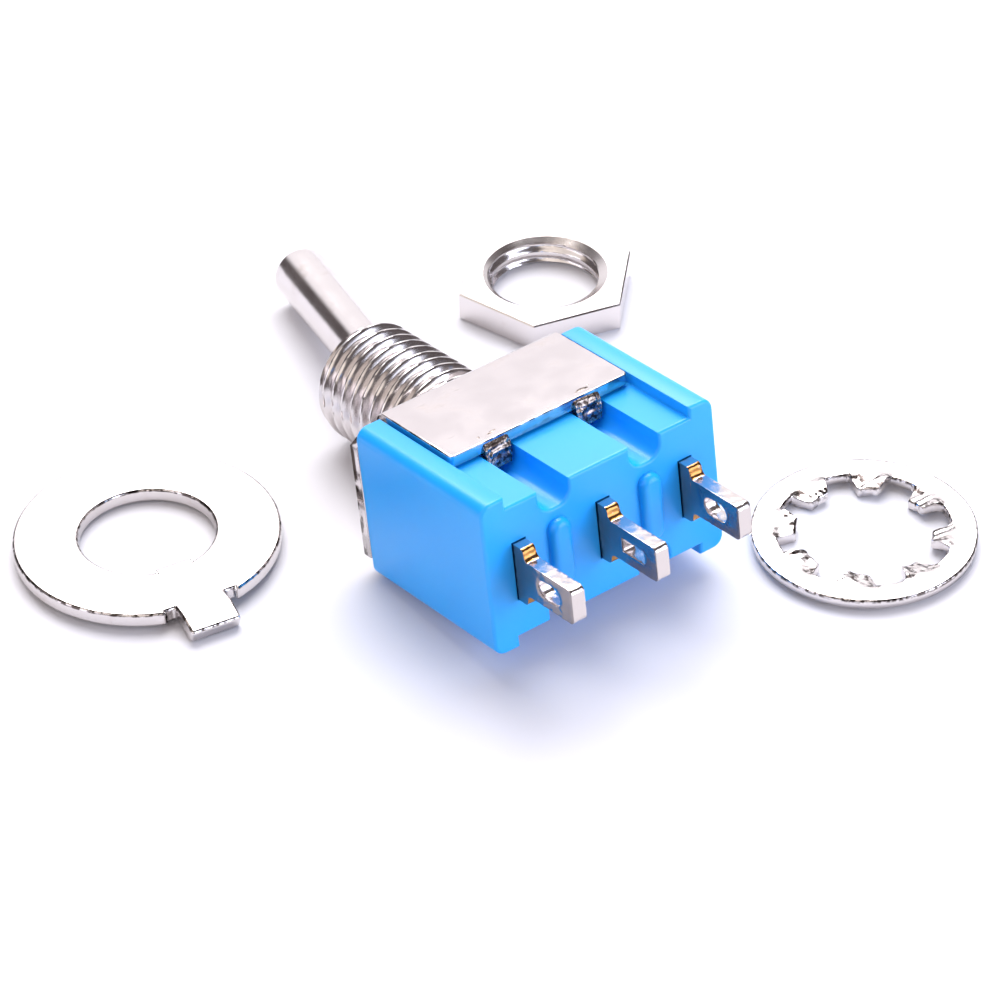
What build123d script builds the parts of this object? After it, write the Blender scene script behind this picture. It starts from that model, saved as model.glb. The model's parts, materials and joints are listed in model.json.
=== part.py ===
"""Miniature panel toggle switch lying on its side, with its nut and washers taken off. Millimetres."""

from build123d import *
from math import asin, atan2, cos, degrees, hypot, pi, radians, sin, tan
import os

os.makedirs("parts", exist_ok=True)

# Moulded housing
body_length = 13.1
body_width = 7.9
body_depth = 9.4
end_strip = 1.35
panel_drop = 0.55
corner_radius = 0.6
edge_radius = 0.18
centre_block = 3.42
groove_width = 1.7
groove_depth = 1.15
groove_radius = 0.7
rib_width = 1.15
rib_length = 3.5
rib_height = 0.45
cavity_length = 11.2
cavity_width = 3.1
cavity_depth = 5.9

# Folded bracket
sheet = 0.6
plate_height = 7.0
plate_chamfer_row = 0.85
plate_chamfer_side = 0.55
arm_depth = 5.85
arm_proud = 0.17
outer_bend = 0.7
inner_bend = 0.12
arm_corner = 0.3
tab_width = 1.4
tab_reach = 1.15
tab_lean = 0.08
tab_bend = 0.42

# Threaded bushing
thread_radius = 2.95
thread_pitch = 0.75
thread_depth = 0.38
crest_flat = 0.1
bushing_length = 8.75
bushing_chamfer = 0.45
bore_radius = 2.34
flare_radius = 2.8
spigot_radius = 2.74
rim_radius = 3.2
rim_height = 0.5
keyway_width = 1.0
keyway_depth = 0.55

# Toggle lever and the pieces it carries
throw_angle = 14.2
pivot_height = 5.0
ball_radius = 2.26
neck_radius = 1.29
tip_radius = 1.4
tip_round = 0.28
lever_reach = 14.75
stem_radius = 0.95
foot_radius = 1.3
foot_height = 1.7
foot_reach = 8.6
pin_radius = 0.5
pin_length = 4.8
plunger_radius = 0.6
plunger_length = 2.95
plunger_reach = 10.15
plunger_bore_depth = 4.0
wire = 0.16
spring_turns = 4

# Rocking contact
rocker_tilt = 9.0
rocker_sheet = 0.35
rocker_width = 2.4
rocker_flat = 0.5
rocker_inner_span = 2.8
rocker_reach = 5.2
rocker_inner_slope = 15.0
fulcrum_height = 5.57
notch_length = 1.0
notch_depth = 0.4

# Terminals
pitch = 4.7
lug_thickness = 0.7
lug_width = 1.8
lug_length = 4.15
lug_corner = 0.3
root_width = 2.95
shoulder = 0.76
root_round = 0.25
root_blend = 0.3
lug_hole_length = 1.6
oval_hole_width = 0.95
square_hole_width = 0.75
lug_hole_offset = 2.45
leg_thickness = 0.7
leg_width = 2.6
leg_inward = 1.7
saddle_length = 2.2
ridge_radius = 0.3
horn_length = 0.56
horn_rise = 0.55
button_radius = 0.7
button_inset = 0.5

# Mounting hardware, laid on the same surface
nut_across = 8.0
nut_thickness = 1.5
nut_bore = 2.65
nut_chamfer = 0.2
nut_place = (13.15, 11.52)
nut_turn = 45.2
washer_radius = 6.25
washer_bore = 3.2
washer_sheet = 0.75
washer_place = (-13.39, 7.41)
washer_turn = -99.0
washer_tab_width = 2.5
washer_tab_reach = 7.45
washer_tab_bend = 6.45
washer_tab_drop = 0.35
washer_relief = 0.5
washer_relief_depth = 0.45
key_width = 1.9
key_depth = 0.4
lock_radius = 5.25
lock_root = 4.1
lock_bore = 3.15
lock_sheet = 0.5
lock_teeth = 8
tooth_width = 1.5
tooth_twist = 14.0
lock_place = (12.82, -12.98)

# Clearances
slip = 0.05
arm_clearance = 0.175
tab_room = 0.75
plate_overhang = 0.05
running = 0.04
contact_gap = 0.03

# Height above the seat that each level works out to, measured along the bushing
body_top = -sheet
lug_face = body_top - body_depth
cavity_floor = body_top - cavity_depth
leg_top = cavity_floor + leg_thickness
panel_face = body_width / 2 - panel_drop
arm_width = body_length - 2 * (end_strip + arm_clearance)
plate_length = body_length + 2 * plate_overhang
arm_face = body_width / 2 + arm_proud
groove_place = (centre_block + groove_width) / 2
groove_length = tab_room - arm_depth - lug_face
crest_height = bushing_length - bushing_chamfer

# The switch tips forward until the bushing's last full thread meets the surface
bend_to_crest = crest_height + outer_bend
bend_over_thread = arm_face - outer_bend - thread_radius
rest_tilt = asin(outer_bend / hypot(bend_to_crest, bend_over_thread)) + atan2(bend_over_thread, bend_to_crest)
floor = -crest_height * sin(rest_tilt) - thread_radius * cos(rest_tilt)

# Seat plane: x runs along the terminals to the far end, z along the bushing, y down to the surface
seat = Plane(origin=(0, 0, 0), x_dir=(1, 0, 0), z_dir=(0, cos(rest_tilt), -sin(rest_tilt)))
bushing_axis = Axis(seat.origin, seat.z_dir)


def row_section(place):
    """Plane across the terminal row, drawn in y and z of the seat."""
    return Plane(origin=seat.from_local_coords((place, 0, 0)), x_dir=seat.y_dir, z_dir=seat.x_dir)


def side_view(height=0.0, turn=0.0):
    """Plane seen from the broad side, centred at a height on the axis and turned by an angle in degrees."""
    heading = seat.x_dir * cos(radians(turn)) + seat.z_dir * sin(radians(turn))
    return Plane(origin=seat.from_local_coords((0, 0, height)), x_dir=heading, z_dir=seat.y_dir * -1)


# The housing: a moulded block with proud end strips, grooves for the staked tabs and ribs between the lugs
with BuildPart() as housing:
    with BuildSketch(seat.offset(body_top)):
        Rectangle(body_length, body_width)
    extrude(amount=-body_depth)
    fillet(housing.edges().filter_by(bushing_axis), corner_radius)
    with BuildSketch(seat.offset(body_top)):
        with Locations((0, body_width / 2), (0, -body_width / 2)):
            Rectangle(body_length - 2 * end_strip, 2 * panel_drop)
    extrude(amount=-body_depth, mode=Mode.SUBTRACT)
    with BuildSketch(seat.offset(lug_face)):
        for side in (1, -1):
            with Locations((groove_place, side * panel_face), (-groove_place, side * panel_face)):
                RectangleRounded(groove_width, 2 * groove_depth, groove_radius)
    extrude(amount=groove_length, mode=Mode.SUBTRACT)
    outer_rim = housing.edges().group_by(bushing_axis)[0]
    fillet(outer_rim, edge_radius)
    with BuildSketch(seat.offset(lug_face + edge_radius)):
        with Locations((groove_place, 0), (-groove_place, 0)):
            SlotOverall(rib_length, rib_width, rotation=90)
    extrude(amount=-rib_height - edge_radius)
    rib_tops = housing.faces().sort_by(bushing_axis)[:2]
    fillet(rib_tops.edges(), 0.8 * rib_height)
    with BuildSketch(seat.offset(body_top)):
        Circle(rim_radius + slip)
    extrude(amount=-rim_height - slip, mode=Mode.SUBTRACT)
    with BuildSketch(seat.offset(body_top)):
        Rectangle(cavity_length, cavity_width)
    extrude(amount=-cavity_depth, mode=Mode.SUBTRACT)
    with BuildSketch(seat.offset(cavity_floor)):
        with Locations((-pitch, 0), (0, 0), (pitch, 0)):
            Rectangle(lug_thickness + 2 * slip, root_width + 2 * slip)
    extrude(amount=-body_depth, mode=Mode.SUBTRACT)
housing.part.label = "housing"
export_step(housing.part, "parts/housing.step")

# The bracket: a channel folded from sheet, a chamfered plate across it and tabs staked into the grooves
with BuildPart() as bracket:
    with BuildSketch(row_section(0)):
        with BuildSketch(mode=Mode.ADD) as channel:
            with Locations((0, -arm_depth / 2)):
                Rectangle(2 * arm_face, arm_depth)
            fillet(channel.vertices().group_by(Axis.Y)[-1], outer_bend)
        with BuildSketch(mode=Mode.SUBTRACT) as inside:
            with Locations((0, -sheet - arm_depth / 2)):
                Rectangle(2 * (arm_face - sheet), arm_depth)
            fillet(inside.vertices().group_by(Axis.Y)[-1], inner_bend)
    extrude(amount=arm_width / 2, both=True)
    arm_ends = bracket.edges().filter_by(Axis(seat.origin, seat.y_dir)).group_by(bushing_axis)[0]
    fillet(arm_ends, arm_corner)
    with BuildSketch(seat.offset(-sheet)):
        with BuildLine():
            far = plate_length / 2
            wide = plate_height / 2
            Polyline((far, wide - plate_chamfer_side), (far - plate_chamfer_row, wide),
                     (plate_chamfer_row - far, wide), (-far, wide - plate_chamfer_side),
                     (-far, plate_chamfer_side - wide), (plate_chamfer_row - far, -wide),
                     (far - plate_chamfer_row, -wide), (far, plate_chamfer_side - wide), close=True)
        make_face()
    extrude(amount=sheet)
    for place in (groove_place, -groove_place):
        with BuildSketch(row_section(place)):
            for side in (1, -1):
                middle = side * (arm_face - sheet / 2)
                with BuildLine():
                    FilletPolyline((middle, -arm_depth + 2 * sheet), (middle, -arm_depth),
                                   (middle - side * tab_reach, -arm_depth - tab_lean), radius=tab_bend)
                trace(line_width=sheet)
        extrude(amount=tab_width / 2, both=True)
    with BuildSketch(seat.offset(-sheet)):
        Circle(spigot_radius + slip)
    extrude(amount=sheet, mode=Mode.SUBTRACT)
bracket.part.label = "bracket"
export_step(bracket.part, "parts/bracket.step")

# The bushing: turned, its spigot riveted over under the plate, with a keyway and two slots for the pivot pin
# Its thread is drawn as rings, one for each turn, with the real pitch and depth
thread = []
for turn in range(int(crest_height / thread_pitch)):
    upper_flank = crest_height - turn * thread_pitch - crest_flat
    next_crest = crest_height - (turn + 1) * thread_pitch
    root = (thread_radius - thread_depth, (upper_flank + next_crest) / 2)
    thread += [(thread_radius, upper_flank), root, (thread_radius, next_crest)]
with BuildPart() as bushing:
    with BuildSketch(side_view()):
        with BuildLine():
            Polyline((bore_radius, 0), (bore_radius, bushing_length),
                     (thread_radius - bushing_chamfer, bushing_length), (thread_radius, crest_height),
                     *thread, (thread_radius, 0), (spigot_radius, 0),
                     (spigot_radius, body_top), (rim_radius, body_top),
                     (rim_radius, body_top - rim_height), (flare_radius, body_top - rim_height),
                     close=True)
        make_face()
    revolve(axis=bushing_axis)
    with BuildSketch(seat):
        with Locations((thread_radius, 0)):
            Rectangle(2 * keyway_depth, keyway_width)
    extrude(amount=bushing_length, mode=Mode.SUBTRACT)
    slot_length = pivot_height + rim_height + sheet
    with BuildSketch(side_view(pivot_height)):
        Circle(pin_radius + running)
        with Locations((0, -slot_length / 2)):
            Rectangle(2 * (pin_radius + running), slot_length)
    extrude(amount=pin_length / 2 + running, both=True, mode=Mode.SUBTRACT)
bushing.part.label = "bushing"
export_step(bushing.part, "parts/bushing.step")

# Lever frame: its y runs up the lever from the pivot, thrown towards the far end of the row
lever_view = side_view(pivot_height, -throw_angle)
lever_axis = Axis(lever_view.origin, lever_view.y_dir)


def lever_section(reach):
    """Plane across the lever at a distance above its pivot."""
    centre = lever_view.from_local_coords((0, reach, 0))
    return Plane(origin=centre, x_dir=lever_view.x_dir, z_dir=lever_view.y_dir)


# The lever: a tapered bat with a ball at the pivot and a foot that is bored for the plunger
bore_in_foot = plunger_radius + running
with BuildPart() as lever:
    with BuildSketch(lever_view):
        with BuildLine():
            stem_top = (stem_radius, -(ball_radius ** 2 - stem_radius ** 2) ** 0.5)
            neck_base = (neck_radius, (ball_radius ** 2 - neck_radius ** 2) ** 0.5)
            Polyline((0, lever_reach), (0, -foot_reach), (foot_radius, -foot_reach),
                     (foot_radius, foot_height - foot_reach),
                     (stem_radius, foot_height - foot_reach + foot_radius - stem_radius), stem_top)
            ThreePointArc(stem_top, (ball_radius, 0), neck_base)
            Polyline(neck_base, (tip_radius, lever_reach), (0, lever_reach))
        make_face()
    revolve(axis=lever_axis)
    fillet(lever.edges().sort_by(lever_axis)[-1], tip_round)
    with BuildSketch(lever_section(-foot_reach)):
        Circle(bore_in_foot)
    extrude(amount=plunger_bore_depth, mode=Mode.SUBTRACT)
    with BuildSketch(lever_view):
        Circle(pin_radius)
    extrude(amount=ball_radius, both=True, mode=Mode.SUBTRACT)
lever.part.label = "lever"
export_step(lever.part, "parts/lever.step")

# The pivot pin: pressed through the ball, its ends in the bushing's slots
with BuildPart() as pivot_pin:
    with BuildSketch(lever_view):
        Circle(pin_radius)
    extrude(amount=pin_length / 2, both=True)
pivot_pin.part.label = "pivot_pin"
export_step(pivot_pin.part, "parts/pivot_pin.step")

# The plunger: a short rod with a round nose
plunger_top = plunger_length - plunger_reach
with BuildPart() as plunger:
    with BuildSketch(lever_view):
        with BuildLine():
            nose = (plunger_radius, plunger_radius - plunger_reach)
            Polyline((0, -plunger_reach), (0, plunger_top), (plunger_radius, plunger_top), nose)
            RadiusArc(nose, (0, -plunger_reach), plunger_radius)
        make_face()
    revolve(axis=lever_axis)
plunger.part.label = "plunger"
export_step(plunger.part, "parts/plunger.step")

# The plunger's spring: a coil between the plunger and the end of its bore, its fine wire given six flats
spring_base = plunger_top + wire / 2 + contact_gap
spring_height = plunger_bore_depth - foot_reach - spring_base - wire / 2 - contact_gap
spring_radius = plunger_radius - wire / 2
with BuildPart() as plunger_spring:
    with BuildLine() as coil:
        Helix(pitch=spring_height / spring_turns, height=spring_height, radius=spring_radius,
              center=lever_view.from_local_coords((0, spring_base, 0)), direction=lever_view.y_dir)
    with BuildSketch(Plane(origin=coil.line @ 0, z_dir=coil.line % 0)):
        RegularPolygon(wire / 2, 6)
    sweep(is_frenet=True)
plunger_spring.part.label = "plunger_spring"
export_step(plunger_spring.part, "parts/plunger_spring.step")

# The rocker: a strip bent to a shallow V, tipped onto the near contact, notched for the fulcrum's horns
rocker_view = side_view(-fulcrum_height, rocker_tilt)
inner_rise = (rocker_inner_span - rocker_flat) * tan(radians(rocker_inner_slope))
outer_rise = inner_rise + (rocker_reach - rocker_inner_span) * tan(radians(rocker_tilt))
with BuildPart() as rocker:
    with BuildSketch(rocker_view):
        with BuildLine():
            base = rocker_sheet / 2
            Polyline((-rocker_reach, base + outer_rise), (-rocker_inner_span, base + inner_rise),
                     (-rocker_flat, base), (rocker_flat, base),
                     (rocker_inner_span, base + inner_rise), (rocker_reach, base + outer_rise))
        trace(line_width=rocker_sheet)
    extrude(amount=rocker_width / 2, both=True)
    with BuildSketch(Plane(origin=rocker_view.origin, x_dir=rocker_view.x_dir, z_dir=rocker_view.y_dir)):
        with Locations((0, rocker_width / 2), (0, -rocker_width / 2)):
            Rectangle(notch_length, 2 * notch_depth)
    extrude(amount=2 * rocker_sheet, both=True, mode=Mode.SUBTRACT)
rocker.part.label = "rocker"
export_step(rocker.part, "parts/rocker.step")


def draw_lug(outline, hole_width, oval):
    """Draw a lug in an open sketch across the row: wide root, narrow blade, and an oval or square hole."""
    tip = lug_face - lug_length
    root_end = lug_face - shoulder
    with Locations((0, (leg_top + root_end) / 2)):
        Rectangle(root_width, leg_top - root_end)
    fillet(outline.vertices().group_by(Axis.Y)[0], root_round)
    with Locations((0, (leg_top + tip) / 2)):
        Rectangle(lug_width, leg_top - tip)
    fillet(outline.vertices().group_by(Axis.Y)[0], lug_corner)
    beside_blade = outline.vertices().filter_by_position(Axis.X, -lug_width / 2 - slip, lug_width / 2 + slip)
    fillet(beside_blade.filter_by_position(Axis.Y, root_end - slip, root_end + slip), root_blend)
    with Locations((0, lug_face - lug_hole_offset)):
        if oval:
            SlotOverall(lug_hole_length, hole_width, rotation=90, mode=Mode.SUBTRACT)
        else:
            Rectangle(hole_width, lug_hole_length, mode=Mode.SUBTRACT)


# The outer terminals: a blade through the housing and a leg folded inwards under the rocker's end
outer_terminals = {"terminal_near": -1, "terminal_far": 1}
for label, side in outer_terminals.items():
    with BuildPart() as terminal:
        with BuildSketch(row_section(side * pitch)) as outline:
            draw_lug(outline, oval_hole_width, True)
        extrude(amount=lug_thickness / 2, both=True)
        with BuildSketch(seat.offset(cavity_floor)):
            with Locations((side * (pitch + lug_thickness / 2 - leg_inward / 2), 0)):
                Rectangle(leg_inward, leg_width)
        extrude(amount=leg_thickness)
    terminal.part.label = label
    export_step(terminal.part, f"parts/{label}.step")

# The centre terminal: a blade under a saddle with a rounded ridge and two horns that hold the rocker
with BuildPart() as terminal_centre:
    with BuildSketch(row_section(0)) as outline:
        draw_lug(outline, square_hole_width, False)
    extrude(amount=lug_thickness / 2, both=True)
    with BuildSketch(seat.offset(cavity_floor)):
        Rectangle(saddle_length, root_width)
    extrude(amount=leg_thickness)
    ridge_rise = -fulcrum_height - contact_gap - leg_top
    with BuildSketch(side_view(leg_top)):
        with Locations((0, (ridge_rise - ridge_radius) / 2)):
            Rectangle(2 * ridge_radius, ridge_rise + ridge_radius - 2 * contact_gap)
        with Locations((0, ridge_rise - ridge_radius)):
            Circle(ridge_radius)
    horn_base = rocker_width / 2 - notch_depth
    extrude(amount=horn_base, both=True)
    with BuildSketch(seat.offset(leg_top)):
        horn_width = root_width / 2 - horn_base - slip
        for side in (1, -1):
            with Locations((0, side * (horn_base + slip + horn_width / 2))):
                Rectangle(horn_length, horn_width)
    extrude(amount=ridge_rise + horn_rise)
terminal_centre.part.label = "terminal_centre"
export_step(terminal_centre.part, "parts/terminal_centre.step")

# The contact buttons: riveted on the outer terminals' legs, just under the rocker's lowered end
lowered_end = (base + inner_rise - rocker_sheet / 2) * cos(radians(rocker_tilt))
lowered_end -= rocker_inner_span * sin(radians(rocker_tilt))
button_height = lowered_end - fulcrum_height - contact_gap - leg_top
button_places = {"contact_near": -1, "contact_far": 1}
for label, side in button_places.items():
    with BuildPart() as button:
        with BuildSketch(seat.offset(leg_top)):
            with Locations((side * (pitch - button_inset), 0)):
                Circle(button_radius)
        extrude(amount=button_height)
    button.part.label = label
    export_step(button.part, f"parts/{label}.step")

# The hex nut: flat on the surface, its bore at the thread's inner radius
nut_axes = Plane(origin=(*nut_place, floor), x_dir=(cos(radians(nut_turn)), sin(radians(nut_turn)), 0))
with BuildPart() as hex_nut:
    with BuildSketch(nut_axes):
        RegularPolygon(nut_across / 2, 6, major_radius=False)
        Circle(nut_bore, mode=Mode.SUBTRACT)
    extrude(amount=nut_thickness)
    chamfer(hex_nut.edges().filter_by(GeomType.CIRCLE), nut_chamfer)
hex_nut.part.label = "hex_nut"
export_step(hex_nut.part, "parts/hex_nut.step")

# The tab washer: it leans on its bent tab and on the rim across from it, with an inner key in line
tab_angle = atan2(washer_tab_drop, washer_tab_reach - washer_tab_bend)
tab_dip = washer_tab_drop - washer_sheet / 2 * (1 - cos(tab_angle))
washer_lean = asin(tab_dip / (washer_radius + washer_tab_reach))
lean_x = cos(radians(washer_turn))
lean_y = sin(radians(washer_turn))
washer_heading = Vector(lean_x * cos(washer_lean), lean_y * cos(washer_lean), sin(washer_lean))
washer_up = Vector(-lean_x * sin(washer_lean), -lean_y * sin(washer_lean), cos(washer_lean))
far_rim = Vector(washer_place[0] - lean_x * washer_radius, washer_place[1] - lean_y * washer_radius, floor)
washer_axes = Plane(origin=far_rim + washer_heading * washer_radius, x_dir=washer_heading, z_dir=washer_up)
with BuildPart() as tab_washer:
    with BuildSketch(washer_axes):
        Circle(washer_radius)
        Circle(washer_bore, mode=Mode.SUBTRACT)
        with Locations((washer_bore, 0)):
            Rectangle(2 * key_depth, key_width)
        relief_place = (washer_tab_width + washer_relief) / 2
        with Locations((washer_radius, relief_place), (washer_radius, -relief_place)):
            Rectangle(2 * washer_relief_depth, washer_relief, mode=Mode.SUBTRACT)
    extrude(amount=washer_sheet)
    tab_plane = Plane(origin=washer_axes.origin, x_dir=washer_axes.x_dir, z_dir=washer_axes.y_dir * -1)
    with BuildSketch(tab_plane):
        with BuildLine():
            FilletPolyline((washer_radius - washer_relief_depth, washer_sheet / 2),
                           (washer_tab_bend, washer_sheet / 2),
                           (washer_tab_reach, washer_sheet / 2 - washer_tab_drop), radius=washer_sheet)
        trace(line_width=washer_sheet)
    extrude(amount=washer_tab_width / 2, both=True)
tab_washer.part.label = "tab_washer"
export_step(tab_washer.part, "parts/tab_washer.step")

# The lock washer: a ring on eight twisted inner teeth, whose lower corners stand on the surface
twist = radians(tooth_twist)
tooth_half = tooth_width / 2 * sin(twist) + lock_sheet / 2 * cos(twist)
lock_axes = Plane(origin=(*lock_place, floor + tooth_half - lock_sheet / 2))
with BuildPart() as lock_washer:
    with BuildSketch(lock_axes):
        Circle(lock_radius)
        Circle(lock_root, mode=Mode.SUBTRACT)
    extrude(amount=lock_sheet)
    for index in range(lock_teeth):
        heading = 2 * pi * index / lock_teeth
        outward = Vector(cos(heading), sin(heading), 0)
        start = Vector(*lock_place, floor + tooth_half) + outward * (lock_bore - tooth_width / 4)
        tooth_plane = Plane(origin=start, x_dir=(-sin(heading), cos(heading), 0), z_dir=outward)
        with BuildSketch(tooth_plane):
            Rectangle(tooth_width, lock_sheet, rotation=-tooth_twist)
        extrude(amount=lock_root + lock_sheet / 2 - lock_bore + tooth_width / 4)
    with BuildSketch(Plane(origin=(*lock_place, floor))):
        Circle(lock_bore)
    extrude(amount=2 * tooth_half, mode=Mode.SUBTRACT)
lock_washer.part.label = "lock_washer"
export_step(lock_washer.part, "parts/lock_washer.step")

print(f"rest tilt {degrees(rest_tilt):.3f} degrees, surface {floor:.4f} mm below the origin")
print(f"washer lean {degrees(washer_lean):.3f} degrees, button height {button_height:.3f} mm")
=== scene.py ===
"""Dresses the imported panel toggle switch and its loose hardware, and sets them up for a product picture.

The switch lies on its side on a pale surface with its hex nut, tab washer and toothed lock washer round it.
Lengths are named in millimetres and turned to metres where a mesh is made.
"""

import json
import logging
import math
from dataclasses import dataclass, field
from enum import Enum
from typing import Any, Optional

import bmesh
import bpy
import numpy as np
from mathutils import Matrix, Vector


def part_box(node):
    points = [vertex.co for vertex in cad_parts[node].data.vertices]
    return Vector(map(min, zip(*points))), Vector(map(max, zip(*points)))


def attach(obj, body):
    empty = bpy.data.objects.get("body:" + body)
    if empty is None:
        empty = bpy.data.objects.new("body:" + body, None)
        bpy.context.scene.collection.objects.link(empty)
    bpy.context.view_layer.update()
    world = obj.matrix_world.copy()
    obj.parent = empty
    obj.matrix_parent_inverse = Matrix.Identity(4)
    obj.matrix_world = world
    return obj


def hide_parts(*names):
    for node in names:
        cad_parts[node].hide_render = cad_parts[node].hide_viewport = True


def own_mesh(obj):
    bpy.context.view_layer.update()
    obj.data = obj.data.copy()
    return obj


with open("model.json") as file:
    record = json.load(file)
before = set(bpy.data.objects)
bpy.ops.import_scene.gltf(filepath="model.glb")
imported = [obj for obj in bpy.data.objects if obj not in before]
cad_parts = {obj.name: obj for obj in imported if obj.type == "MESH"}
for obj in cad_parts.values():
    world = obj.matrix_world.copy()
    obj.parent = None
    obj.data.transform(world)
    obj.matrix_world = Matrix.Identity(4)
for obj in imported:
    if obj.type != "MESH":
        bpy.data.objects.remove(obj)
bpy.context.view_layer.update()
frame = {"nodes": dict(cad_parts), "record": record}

MM = 0.001
FULL_TURN = 2.0 * math.pi
UP = np.array([0.0, 0.0, 1.0])

# In metres: points of a grid, and loose corners of a solid, that lie closer than these are one point.
SAME_POINT = 1e-8
SAME_CORNER = 2e-7

# Faces that turn by less than this are joined to one flat face.
FLAT_TURN = math.radians(0.3)

# How often an edge may be halved on its way to the grain's length.
MOST_HALVINGS = 6

log = logging.getLogger("toggle_switch")


class Slot(Enum):
    """The record's material slots that the new pieces stand for; no piece is given one here."""

    HOUSING = "housing"
    PLATED_STEEL = "plated_steel"
    PLATED_BRASS = "plated_brass"
    TERMINAL = "terminal"
    SPRING = "spring"


class Body(Enum):
    """The bodies that the new pieces ride on."""

    SWITCH = "switch"
    TOGGLE = "toggle"


def linear(hex_colour: str) -> tuple[float, float, float, float]:
    """Turn an sRGB hex colour to linear light.

    Args:
        hex_colour: Six hex digits after a hash.

    Returns:
        Red, green, blue and an alpha of one.
    """
    values = [int(hex_colour[start:start + 2], 16) / 255 for start in (1, 3, 5)]
    red, green, blue = [v / 12.92 if v <= 0.04045 else ((v + 0.055) / 1.055) ** 2.4 for v in values]
    return red, green, blue, 1.0


def per_mm(length: float) -> float:
    """Give the texture scale at which one cell is a length in millimetres, in coordinates of metres.

    Args:
        length: The cell's size in millimetres.

    Returns:
        The scale.
    """
    return 1.0 / (length * MM)


def smooth_step(value: np.ndarray, start: float, end: float) -> np.ndarray:
    """Rise from 0 at start to 1 at end along the cubic 3t squared minus 2t cubed.

    Args:
        value: Where to work it out.
        start: The value at which the rise starts.
        end: The value at which it is full.

    Returns:
        The rise, in the shape of value.
    """
    t = np.clip((value - start) / (end - start), 0.0, 1.0)
    return t * t * (3.0 - 2.0 * t)


def ripple(points: np.ndarray, wavelength: float, seed: int) -> np.ndarray:
    """Give a smooth random height in about -1 to 1 at each point.

    The height is the weighted mean of products of two sines along random directions, at four wavelengths that
    each shrink by 0.7, with a weight that shrinks by 0.75. A gain of 1.6 brings its peaks to about 1.

    Args:
        points: Places in millimetres, with x, y and z in the last axis.
        wavelength: The longest wave's length in millimetres.
        seed: Which random directions and phases are drawn.

    Returns:
        The heights, in the shape of points without its last axis.
    """
    wavelengths, sines, shrink, fade, gain = 4, 2, 0.7, 0.75, 1.6
    random = np.random.default_rng(seed)
    height = np.zeros(points.shape[:-1])
    weight_sum = 0.0
    weight = 1.0
    for _ in range(wavelengths):
        wave = 1.0
        for _ in range(sines):
            heading = random.normal(size=3)
            heading *= FULL_TURN / (wavelength * np.linalg.norm(heading))
            wave = wave * np.sin(points @ heading + random.uniform(0.0, FULL_TURN))
        height += weight * wave
        weight_sum += weight
        wavelength *= shrink
        weight *= fade
    return gain * height / weight_sum


@dataclass(frozen=True)
class Axes:
    """Axes of either hand that place a piece: an origin in millimetres and three unit vectors."""

    origin: np.ndarray
    first: np.ndarray
    second: np.ndarray
    third: np.ndarray

    def place(self, first: np.ndarray, second: np.ndarray, third: np.ndarray) -> np.ndarray:
        """Turn coordinates along the three axes to points of the row.

        Args:
            first: Millimetres along the first axis.
            second: Millimetres along the second axis.
            third: Millimetres along the third axis.

        Returns:
            Points in millimetres, with x, y and z in the last axis.
        """
        first, second, third = np.broadcast_arrays(first, second, third)
        return (self.origin + first[..., None] * self.first + second[..., None] * self.second
                + third[..., None] * self.third)

    def round_place(self, radius: np.ndarray, angle: np.ndarray, height: np.ndarray) -> np.ndarray:
        """Turn a radius and an angle about the third axis, and a height along it, to points of the row.

        Args:
            radius: Millimetres from the third axis.
            angle: Radians from the first axis towards the second.
            height: Millimetres along the third axis.

        Returns:
            Points in millimetres, with x, y and z in the last axis.
        """
        return self.place(radius * np.cos(angle), radius * np.sin(angle), height)


def mount_named(name: str) -> dict[str, Any]:
    """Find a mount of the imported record.

    Args:
        name: The mount's name.

    Returns:
        The mount's record.
    """
    return next(mount for mount in frame["record"]["mounts"] if mount["name"] == name)


def joint_named(name: str) -> dict[str, Any]:
    """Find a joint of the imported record.

    Args:
        name: The joint's name.

    Returns:
        The joint's record.
    """
    return next(joint for joint in frame["record"]["behaviour"]["joints"] if joint["name"] == name)


def seat_axes() -> Axes:
    """Set the switch's own axes on its panel seat.

    Returns:
        Axes along the row of lugs, up from the surface and along the bushing.
    """
    mount = mount_named("bushing")
    along = np.array(mount["axis"], dtype=float)
    along /= np.linalg.norm(along)
    lugs = np.array([1.0, 0.0, 0.0])
    return Axes(np.array(mount["pos_m"]) / MM, lugs, np.cross(lugs, along), along)


SEAT = seat_axes()
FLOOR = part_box("hex_nut")[0][2] / MM


def flat_axes(centre: np.ndarray, height: float, degrees: float = 0.0) -> Axes:
    """Set the axes of a piece that lies flat on the surface.

    The first axis has the turn's cosine along x and its sine along y, and the second is a quarter turn on.

    Args:
        centre: The piece's middle in millimetres, of which x and y are taken.
        height: Millimetres up to the axes' origin.
        degrees: How far the first axis is turned from x towards y.

    Returns:
        Axes with the third one straight up.
    """
    turn = math.radians(degrees)
    return Axes(np.array([centre[0], centre[1], height]), np.array([math.cos(turn), math.sin(turn), 0.0]),
                np.array([-math.sin(turn), math.cos(turn), 0.0]), UP)


def around(columns: int) -> np.ndarray:
    """Give the angles of a ring's columns in radians, as one row."""
    return np.linspace(0.0, FULL_TURN, columns, endpoint=False)[None, :]


def stacked(angle: np.ndarray, *rows: tuple[Any, Any]) -> tuple[np.ndarray, np.ndarray]:
    """Stack a ring's rows: each pair of radius and height is repeated for every angle it doesn't vary with.

    Args:
        angle: The columns' angles, as one row.
        rows: Radius and height of one row or of a block of rows, in millimetres.

    Returns:
        All radii and all heights, shaped rows, columns.
    """
    blocks = [np.broadcast_arrays(radius, height, angle) for radius, height in rows]
    return (np.concatenate([block[0] for block in blocks]), np.concatenate([block[1] for block in blocks]))


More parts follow.
